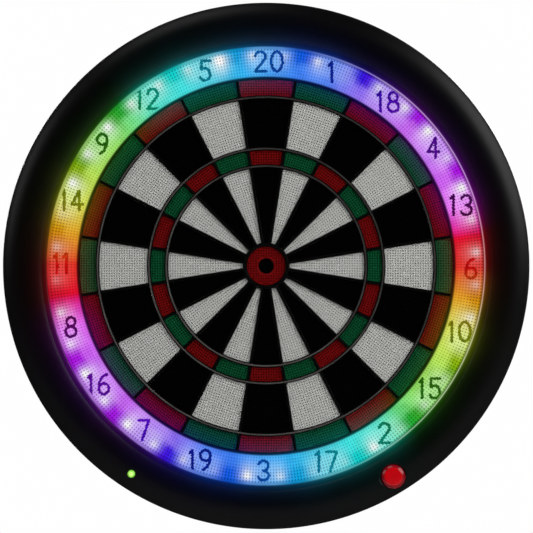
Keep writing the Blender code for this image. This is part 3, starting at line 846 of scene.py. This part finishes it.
def raise_faces(builder, faces, height):
    grown = bmesh.ops.extrude_face_region(builder, geom=faces)
    moved = [item for item in grown["geom"] if isinstance(item, bmesh.types.BMVert)]
    bmesh.ops.translate(builder, verts=moved, vec=(0, -height, 0))


# ---------------- light ring and numbers


def ring_grid():
    """Where the ring's grid of holes starts and ends, and how far apart its rows are."""
    radii = radii_at_front("light_ring")
    start, stop = radii[0] + 1.0, radii[-1] - 1.9
    return start, stop, (stop - start) / RING_ROWS


def ring_profile(grid_start, grid_stop):
    """The ring's section from the grid's outer edge round the back to its inner edge."""
    radii = radii_at_front("light_ring")
    inner, outer = radii[0], radii[-1]
    front, foot = depths("light_ring")
    wall, thick = 1.8, 2.5
    lip = [
        (grid_stop, front), (grid_stop + 0.35, front + 0.35), (grid_stop + 0.9, front + 0.55),
        (outer - 0.45, front + 0.4), (outer - 0.1, front), (outer, front - 0.6),
    ]
    trough = [
        (outer, foot), (outer - wall, foot), (outer - wall, front - thick),
        (inner + wall, front - thick), (inner + wall, foot), (inner, foot),
    ]
    return lip + trough + [(inner, front - 0.5), (inner + 0.4, front), (grid_start, front)]


def make_light_ring():
    """The number ring: a trough over the lamps whose front is full of small holes."""
    front, _ = depths("light_ring")
    grid_start, grid_stop, pitch = ring_grid()
    step = WEDGE / RING_COLUMNS
    clocks = arc(WEDGE, RING_COLUMNS)
    outline = [flat(grid_stop, clock) for clock in clocks]
    outline += [flat(grid_start, clock) for clock in reversed(clocks)]
    centres, rims = [], []
    across, along = RING_HOLE
    for row in range(RING_ROWS):
        for column in range(RING_COLUMNS):
            out = flat(1, (column + 0.5) * step)
            side = Vector((out.y, -out.x))
            centre = out * (grid_start + (row + 0.5) * pitch)
            centres.append(centre)
            rims.append([centre + side * c.x * across + out * c.y * along for c in circle(1, HOLE_SIDES)])
    corners, sector_faces = fill([outline] + rims)
    sector_points = [(x, -front, z) for x, z in corners]
    sector_slots = [0] * len(sector_faces)
    add_pits(sector_points, sector_faces, sector_slots, len(outline), centres, front)
    points, faces, slots = [], [], []
    for n in range(len(NUMBERS)):
        turn = np.array(Matrix.Rotation(n * WEDGE, 3, "Y"))
        start = len(points)
        points += (np.array(sector_points) @ turn.T).tolist()
        faces += [tuple(start + corner for corner in face) for face in sector_faces]
        slots += sector_slots
    profile = ring_profile(grid_start, grid_stop)
    steps = RING_COLUMNS * len(NUMBERS)
    start = len(points)
    for radius, depth in profile:
        points += [on_face(radius, clock, depth) for clock in turns(steps)]
    for a in range(start, start + steps * (len(profile) - 1), steps):
        for n in range(steps):
            after = (n + 1) % steps
            faces.append((a + n, a + after, a + steps + after, a + steps + n))
            slots.append(0)
    piece = new_piece("light_ring_lens", points, faces, ring_looks(), slots)
    add_lamp_strengths(piece)
    place(piece, "board", "diffuser", "light_ring")


def add_lamp_strengths(piece):
    corners = np.empty(len(piece.data.vertices) * 3)
    piece.data.vertices.foreach_get("co", corners)
    x, _, z = corners.reshape(-1, 3).T
    clock = (np.arctan2(x, z) - RING_TURN) % FULL_TURN
    lamp = np.floor(clock / FULL_TURN * LAMP_COUNT).astype(int) % LAMP_COUNT
    store_lamp(piece, np.array(LAMPS, np.float32)[lamp])


def oval(x, z, width, height, start=0, stop=360, steps=28):
    """Points along part of an oval. Angles run anticlockwise from the right, in degrees."""
    angles = [math.radians(start + (stop - start) * n / steps) for n in range(steps + 1)]
    return [(x + width * math.cos(t), z + height * math.sin(t)) for t in angles]


def digit_strokes(digit):
    """A digit's strokes in a box from -1 to 1 both ways."""
    return {
        "0": [oval(0, 0, 1.1, 1)],
        "1": [[(0, -1), (0, 1), (-0.55, 0.68)]],
        "2": [oval(0, 0.5, 1, 0.5, 175, -25) + [(-1, -1), (1.05, -1)]],
        "3": [oval(-0.05, 0.5, 0.95, 0.5, 160, -90), oval(-0.05, -0.5, 1.05, 0.5, 90, -160)],
        "4": [[(0.45, -1), (0.45, 1), (-1.05, -0.4), (1.1, -0.4)]],
        "5": [[(0.95, 1), (-0.75, 1), (-0.85, 0.15)] + oval(-0.1, -0.37, 1.05, 0.63, 125, -150)],
        "6": [oval(0, -0.45, 1, 0.55), [(-1, -0.4), (-0.85, 0.25), (-0.3, 0.75), (0.55, 1)]],
        "7": [[(-1, 1), (1, 1), (-0.35, -1)]],
        "8": [oval(0, 0.52, 0.85, 0.48), oval(0, -0.48, 1.05, 0.52)],
        "9": [oval(0, 0.45, 1, 0.55), [(1, 0.4), (0.85, -0.25), (0.3, -0.75), (-0.4, -1)]],
    }[digit]


def number_strokes(number):
    """The strokes of a number, centred on (0, 0)."""
    digits = str(number)
    room = [5.0 if digit == "1" else 8.6 for digit in digits]
    strokes = []
    at = -sum(room)
    for digit, half in zip(digits, room):
        at += half
        for stroke in digit_strokes(digit):
            strokes.append([(at + x * NUMBER_HALF_WIDTH, z * NUMBER_HALF_HEIGHT) for x, z in stroke])
        at += half
    return strokes


def distance_to_strokes(x, z, strokes):
    """The distance of each point of a grid from the nearest stroke."""
    best = np.full(x.shape, np.inf)
    for stroke in strokes:
        for (ax, az), (bx, bz) in zip(stroke, stroke[1:]):
            dx, dz = bx - ax, bz - az
            along = np.clip(((x - ax) * dx + (z - az) * dz) / (dx * dx + dz * dz), 0, 1)
            best = np.minimum(best, np.hypot(x - ax - along * dx, z - az - along * dz))
    return best


def join_corners(cells):
    """Fills a cell wherever two filled cells touch only at a corner."""
    a, b, c, d = cells[:-1, :-1], cells[:-1, 1:], cells[1:, :-1], cells[1:, 1:]
    b |= a & d & ~c
    a |= b & c & ~d


def make_number(number, light, clock, look):
    """A number as a raised patch of the ring's own cells, so its edges step along the grid."""
    grid_start, _, pitch = ring_grid()
    front, _ = depths("light_ring")
    fineness = 3
    step, rise = WEDGE / RING_COLUMNS / fineness, pitch / fineness
    rows, half_columns = RING_ROWS * fineness, RING_COLUMNS * fineness // 2
    centre = on_face(grid_start + RING_ROWS * pitch / 2 + 0.8, clock, 0)
    clocks = clock + step * (np.arange(-half_columns, half_columns) + 0.5)
    radii = grid_start + rise * (np.arange(rows) + 0.5)
    x = np.outer(radii, np.sin(clocks)) - centre.x
    z = np.outer(radii, np.cos(clocks)) - centre.z
    inked = distance_to_strokes(x, z, number_strokes(number)) < NUMBER_STROKE / 2
    inked[0] = inked[-1] = False
    join_corners(inked)
    corners, points, faces = {}, [], []

    def corner(row, column, depth):
        key = (row, column, depth)
        if key not in corners:
            corners[key] = len(points)
            points.append(on_face(grid_start + rise * row, clock + step * (column - half_columns), depth))
        return corners[key]

    bottom, top = front + 0.03, front + NUMBER_THICKNESS
    filled = set(map(tuple, np.argwhere(inked)))
    for row, column in sorted(filled):
        square = ((row, column), (row, column + 1), (row + 1, column + 1), (row + 1, column))
        beyond = ((row - 1, column), (row, column + 1), (row + 1, column), (row, column - 1))
        faces += [[corner(*spot, depth) for spot in square] for depth in (bottom, top)]
        for n, cell in enumerate(beyond):
            if cell not in filled:
                a, b = square[n], square[(n + 1) % 4]
                faces.append([corner(*a, bottom), corner(*b, bottom), corner(*b, top), corner(*a, top)])
    piece = new_piece(f"number_{number:02d}", points, faces, [look])
    store_lamp(piece, [light] * len(piece.data.vertices))
    place(piece, "board", "diffuser")


def make_numbers():
    look = number_look()
    for n, (number, light) in enumerate(zip(NUMBERS, NUMBER_LIGHT)):
        make_number(number, light, n * WEDGE + RING_TURN, look)


# ---------------- case


def make_bezel():
    """The crowned front of the case, with the button's well and the pilot light's hole."""
    outer, (top, back) = right_edge("front_bezel"), depths("front_bezel")
    crown, edge = WINDOW + 21, 3.2
    drop, reach = 5.6, outer - edge - crown

    def surface(radius):
        """The depth of the case's front, which falls away on both sides of the crown."""
        past = max(radius - crown, 0) / reach
        short = max(crown - radius, 0) / (crown - ROLL_START)
        return top - drop * past ** 2.1 - 2.0 * short ** 2

    roll = [crown + reach * n / 16 for n in range(17)]
    inward = [crown - (crown - ROLL_START) * n / 8 for n in range(1, 9)]
    roll, inward = ([(radius, surface(radius)) for radius in radii] for radii in (roll, inward))
    lean = math.atan(2.1 * drop / reach)
    for n in range(1, 9):
        t = lean + (math.pi / 2 - lean) * n / 8
        roll.append((outer - edge + edge * (math.sin(t) - math.sin(lean)) / (1 - math.sin(lean)),
                     top - drop - edge * (math.cos(lean) - math.cos(t))))
    ledge = soften([
        (238.0, top - 2.3), (237.3, top - 3.3), (235.6, top - 3.7), (232.2, top - 4.2),
        (WINDOW, top - 4.8),
    ], 0.5)[2:-2]
    wall, seat = 2.5, 33.7
    inside = [
        (WINDOW, seat), (WINDOW + 2.3, seat), (WINDOW + 2.3, top - 6.9), (237, top - 5.2),
        (crown, top - wall), (outer - 9, top - 6.5), (outer - wall, top - 11), (outer - wall, back),
    ]
    rim = [(outer - 0.5, back), (outer, back + 0.5)]
    profile = rim + roll[::-1] + inward + [tuple(point) for point in ledge] + inside
    piece = lathe("bezel_shell", profile, [case_front_look()], 360)

    button = middle("button_cap")
    bore = half_width("button_cap") + 0.4
    sleeve_foot = 38
    sleeve = lathe("sleeve", [
        (bore - 1, sleeve_foot), (bore - 1, top), (bore + 2.4, top), (bore + 2.4, sleeve_foot),
    ], [], 72, button)
    for vertex in sleeve.data.vertices:
        x, y, z = vertex.co / MM
        if -y > sleeve_foot + 1:
            vertex.co.y = -(surface(math.hypot(x, z)) - 1) * MM
    cut(piece, [sleeve], "UNION")
    well = lathe("well", [
        (0, 30), (bore, 30), (bore, top - 1.7), (bore + 0.7, top - 1.0), (bore + 1.9, top - 0.2),
        (bore + 3.0, top + 2), (0, top + 2),
    ], [], 72, button)
    pilot_hole = lathe("pilot_hole", [
        (0, 40), (4.3, 40), (4.3, top - 1.0), (5.1, top + 0.2), (5.1, top + 2), (0, top + 2),
    ], [], 40, middle("indicator_lens"))
    cut(piece, [well, pilot_hole])
    place(piece, "board", "black_case", "front_bezel")


def make_button():
    """The push button: a shallow dome inside a sloping rim."""
    node = "button_cap"
    radius, (top, back) = half_width(node), depths(node)
    face, skirt_foot, stem = 8.8, 43.5, 3.0
    dome = [(face * n / 8, top - 0.35 * (n / 8) ** 2) for n in range(9)]
    slope = [
        (face + 0.4, top - 0.5), (face + 1.6, top - 1.15), (radius - 1.3, top - 1.95),
        (radius - 0.6, top - 2.6), (radius - 0.15, top - 3.5), (radius, top - 4.6),
    ]
    skirt = [
        (radius, skirt_foot), (radius - 1.5, skirt_foot), (radius - 1.8, skirt_foot + 2),
        (stem + 0.4, skirt_foot + 2), (stem, skirt_foot + 1.5), (stem, back + 0.4), (stem - 0.4, back),
        (0, back),
    ]
    piece = lathe("button_dome", dome + slope + skirt, [button_look()], 96, middle(node))
    place(piece, "button", "button_red", node)


def make_pilot():
    node = "indicator_lens"
    radius, (top, back) = 4.0, depths(node)
    dome = [(radius * math.sin(t), top - 1.6 * (1 - math.cos(t))) for t in arc(math.pi / 2, 8)]
    base = [(radius, back + 1), (radius, back), (0, back)]
    piece = lathe("pilot_lens", dome + base, [pilot_look()], 48, middle(node))
    place(piece, "board", "pilot_green", node)


def screw_spots():
    return [on_face(SCREW_RING, FULL_TURN * (n + 0.5) / SCREW_COUNT, 0) for n in range(SCREW_COUNT)]


def make_rear_cover():
    """The dished back of the case, with stiffening ribs, louvres and screw recesses."""
    outer, (lip, back) = right_edge("rear_cover"), depths("rear_cover")
    parting, wall = 28.0, 2.5
    bore, boss_radius, boss_end = 4.3, 10.0, 17.5
    shoulder, dish = 262.0, 8.5
    profile = [(bore + 0.4, back)]
    for start, stop, height in ((14, 19.6, -0.8), (86, 90, RIDGE), (168, 172, RIDGE), (246, 250, RIDGE)):
        crest = back - height
        profile += [(start, back), (start + 0.6, crest), (stop - 0.6, crest), (stop, back)]
    for t in arc(math.pi / 2, 10):
        profile.append((shoulder + dish * math.sin(t), back + dish * (1 - math.cos(t)) / 2))
    profile += [
        (outer - 0.9, back + 8), (outer, parting - 0.5), (outer - 0.5, parting), (outer - 2.2, parting),
        (outer - 2.2, parting + 3), (outer - 4.2, lip), (outer - 4.2, back + 9),
        (shoulder + 4, back + 4.4), (shoulder - 2, back + wall), (boss_radius, back + wall),
        (boss_radius, boss_end), (bore, boss_end), (bore, back + 0.4),
    ]
    piece = lathe("rear_shell", profile, [case_back_look()], 240)
    added = [rear_rib((n + 0.5) * FULL_TURN / RIB_COUNT, back) for n in range(RIB_COUNT)]
    holes = []
    for spot in screw_spots():
        added.append(lathe("post", [
            (0, back - RIDGE), (7.2, back - RIDGE), (7.8, back + 0.3), (5, back + 1), (5, 31), (0, 31),
        ], [], 32, spot))
        holes.append(lathe("recess", [
            (0, back - 4), (4.6, back - 4), (4.1, back - 0.5), (3.9, back + 3), (0, back + 3),
        ], [], 32, spot))
    cut(piece, added, "UNION")
    for x in (-58, 58):
        holes += [louvre(x, -112 - 7 * n, back) for n in range(7)]
    inlet, collar = middle("power_socket").y, 5.0
    loop = [(collar * math.cos(t), inlet + collar * math.sin(t)) for t in turns(40)]
    holes.append(bridge(*([(x, y, z) for x, y in loop] for z in (-290, -262))))
    cut(piece, holes)
    place(piece, "board", "black_case", "rear_cover")


def rear_rib(clock, back):
    """One radial rib on the back: a low bar with sloping sides."""
    start, stop = 88, 248
    loops = []
    for half, depth in ((1.7, back + 0.6), (0.9, back - RIDGE)):
        sides = ((start, -half), (start, half), (stop, half), (stop, -half))
        loops.append([on_face(radius, clock + math.asin(side / radius), depth) for radius, side in sides])
    return bridge(*loops)


def louvre(x, z, back):
    """A slot with round ends, cut through the back."""
    half, radius = 21, 1.3
    end = [(half + radius * math.sin(t), radius * math.cos(t)) for t in arc(math.pi, 8)]
    outline = [(x + side * a, z + side * b) for side in (1, -1) for a, b in end]
    return bridge(*([(a, -depth, b) for a, b in outline] for depth in (back + 6, back - 3)))


def make_screws(look):
    """Pan-head screws with a cross recess, in the recesses of the back."""
    seat = depths("rear_cover")[1] + 2.9
    for n, spot in enumerate(screw_spots()):
        head = lathe(f"rear_screw_{n + 1}", [
            (0, seat - 2.0), (1.6, seat - 1.9), (2.7, seat - 1.4), (3.2, seat - 0.6),
            (3.2, seat - 0.05), (1.5, seat - 0.05), (1.5, seat + 9), (0.4, seat + 10.5), (0, seat + 10.5),
        ], [look], 40, spot)
        cut(head, cross_bars(spot, seat, n * 0.7))
        place(head, "board", "bolt_zinc")


def cross_bars(spot, seat, turn):
    """Two crossed bars that taper inwards, which cut the recess for a screwdriver."""
    bars, width = [], 0.35
    for clock in (turn, turn + math.pi / 2):
        along, side = on_face(1, clock, 0), on_face(1, clock + math.pi / 2, 0)
        loops = []
        for depth, length in ((seat - 3, 1.9), (seat - 0.9, 0.855)):
            corners = ((-length, -width), (length, -width), (length, width), (-length, width))
            loops.append([spot + along * a + side * b - Vector((0, depth, 0)) for a, b in corners])
        bars.append(bridge(*loops))
    return bars


def make_feet():
    """Rubber feet, each a low cone with a dished, ribbed sole."""
    look = coated_look("rubber", (0.012, 0.012, 0.012), 0.65, 0.85, 900.0, 0.06, 0.25)
    for node in ("foot_left", "foot_right"):
        radius, (front, back) = half_width(node), depths(node)
        groove = back + 0.8
        sole = [(0, groove)]
        for at in (1.6, 3.2, 4.8, 6.4):
            sole += [(at - 0.5, groove), (at - 0.2, back), (at + 0.4, back), (at + 0.7, groove)]
        rim = [(radius - 1.3, back + 0.3), (radius - 0.8, back), (radius - 0.4, back + 0.3),
               (radius, front - 1.2), (radius, front), (0, front)]
        place(lathe(f"rubber_{node}", sole + rim, [look], 64, middle(node)), "board", "rubber", node)


# ---------------- hanging


def make_bracket():
    """The wall bracket with its folded edges eased. Only its real edges are kept for the bevel."""
    piece = link("bracket_plate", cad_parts["wall_bracket"].data.copy())
    dress(piece, coated_look("powder_coat", (0.02, 0.02, 0.021), 0.45, 0.6, 1400.0, 0.08))
    with editing(piece.data) as builder:
        bmesh.ops.remove_doubles(builder, verts=builder.verts, dist=1e-6)
        flat_faces = {"verts": builder.verts, "edges": builder.edges}
        bmesh.ops.dissolve_limit(builder, angle_limit=math.radians(1), **flat_faces)
    bevel(piece, 0.35, segments=2, angle=40)
    place(piece, "bracket", "bracket_steel", "wall_bracket")


def make_bolt(zinc):
    """The hanging bolt, with a domed head, a plain neck and a real thread."""
    head, (end, back) = right_edge("hanger_bolt"), depths("hanger_bolt")
    shank, neck, thread_start = 3.95, 4.6, 9.0
    pitch, depth = 1.25, 0.5
    profile = [
        (0, back + 0.5), (head - 2.2, back + 0.25), (head - 0.9, back + 0.1), (head, back + 0.9),
        (head, neck - 0.2), (head - 0.2, neck), (shank, neck), (shank, thread_start),
    ]
    at = thread_start
    while at + pitch < end - 0.6:
        profile += [(shank - depth, at + pitch * 0.5), (shank, at + pitch * 0.95)]
        at += pitch
    profile += [(shank - depth, end - 0.5), (shank - depth - 0.5, end), (0, end)]
    piece = lathe("hanging_bolt", profile, [zinc], 64)
    cut(piece, cross_bars(Vector(), back + 1.7, 0.4))
    place(piece, "board", "bolt_zinc", "hanger_bolt")


# ---------------- CAD nodes that stay


def dress(piece, material):
    piece.data.materials.clear()
    piece.data.materials.append(material)


def dress_cad_nodes():
    looks = {
        "led_ring_board": circuit_look("ring_board_mask"),
        "main_board": circuit_look("main_board_mask"),
        "sensor_membrane": film_look(),
        "damping_pad": coated_look("foam", (0.05, 0.05, 0.055), 0.85, 1.0, 1100.0, 0.4, 0.1),
        "backing_plate": coated_look("tray", (0.09, 0.09, 0.09), 0.55, 0.75, 900.0, 0.05),
        "power_socket": coated_look("socket", (0.012, 0.012, 0.012), 0.3, 0.45, 1200.0, 0.03),
        "button_switch": coated_look("switch", (0.015, 0.015, 0.016), 0.35, 0.5, 1200.0, 0.03),
        "button_spring": metal_look("spring_wire", (0.62, 0.61, 0.59), 0.2, 0.35),
    }
    for node, material in looks.items():
        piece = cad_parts[node]
        dress(piece, material)


# ---------------- camera, floor and light


def make_stage():
    """A plain pale round floor under the board."""
    steps, rings = 96, 8
    points = [(0, 0, FLOOR_HEIGHT)]
    faces = [(0, 1 + step, 1 + (step + 1) % steps) for step in range(steps)]
    for ring in range(rings):
        radius = FLOOR_RADIUS * (ring + 1) / rings
        points += [(x, y, FLOOR_HEIGHT) for y, x in circle(radius, steps)]
    for a in range(1, 1 + (rings - 1) * steps, steps):
        for step in range(steps):
            after = (step + 1) % steps
            faces.append((a + step, a + steps + step, a + steps + after, a + after))
    new_piece("stage_floor", points, faces, [floor_look()])


def make_world():
    """White where the camera looks past the board, and dim as a light."""
    world = bpy.data.worlds.new("studio")
    bpy.context.scene.world = world
    world.use_nodes = True
    nodes, links = world.node_tree.nodes, world.node_tree.links
    nodes.clear()
    path = nodes.new("ShaderNodeLightPath")
    seen, dim = (nodes.new("ShaderNodeBackground") for _ in range(2))
    seen.inputs["Color"].default_value = (0.992, 0.992, 0.992, 1)
    dim.inputs["Color"].default_value = (0.9, 0.95, 1.0, 1)
    dim.inputs["Strength"].default_value = AMBIENT
    choose, out = nodes.new("ShaderNodeMixShader"), nodes.new("ShaderNodeOutputWorld")
    for n, socket in enumerate((path.outputs["Is Camera Ray"], dim.outputs[0], seen.outputs[0])):
        links.new(socket, choose.inputs[n])
    links.new(choose.outputs[0], out.inputs["Surface"])


def soft_light(name, clock, off_axis, distance, size, energy, spread):
    """A round soft box aimed at the board, off to the side that the clock angle gives."""
    data = bpy.data.lights.new(name, "AREA")
    data.shape = "DISK"
    data.size = size
    data.energy = energy
    data.spread = math.radians(spread)
    lamp = link(name, data)
    lean = math.radians(off_axis)
    lamp.location = distance * on_face(math.sin(lean), math.radians(clock), math.cos(lean))
    lamp.visible_camera = False
    lamp.rotation_mode = "QUATERNION"
    lamp.rotation_quaternion = (-lamp.location).to_track_quat("-Z", "Y")


def make_camera():
    """A long lens square in front of the board."""
    data = bpy.data.cameras.new("camera")
    data.sensor_width = 36.0
    distance, seen_width = 6000.0, 560.8
    right, up = 0.32, -0.53
    data.lens = data.sensor_width * distance / seen_width
    data.clip_start, data.clip_end = 0.1, 100
    camera = link("camera", data)
    camera.location = Vector((right, -distance - depths("front_bezel")[0], up)) * MM
    camera.rotation_euler = (math.pi / 2, 0, 0)
    bpy.context.scene.camera = camera


def main():
    zinc = metal_look("zinc_plate", (0.62, 0.63, 0.62), 0.25, 0.42)
    make_segments()
    make_spider()
    make_light_ring()
    make_numbers()
    make_bezel()
    make_button()
    make_pilot()
    make_rear_cover()
    make_screws(zinc)
    make_feet()
    make_bracket()
    make_bolt(zinc)
    dress_cad_nodes()
    make_stage()
    make_world()
    for light in LIGHTS:
        soft_light(*light)
    make_camera()
    bpy.context.scene.view_settings.view_transform = "Standard"


main()
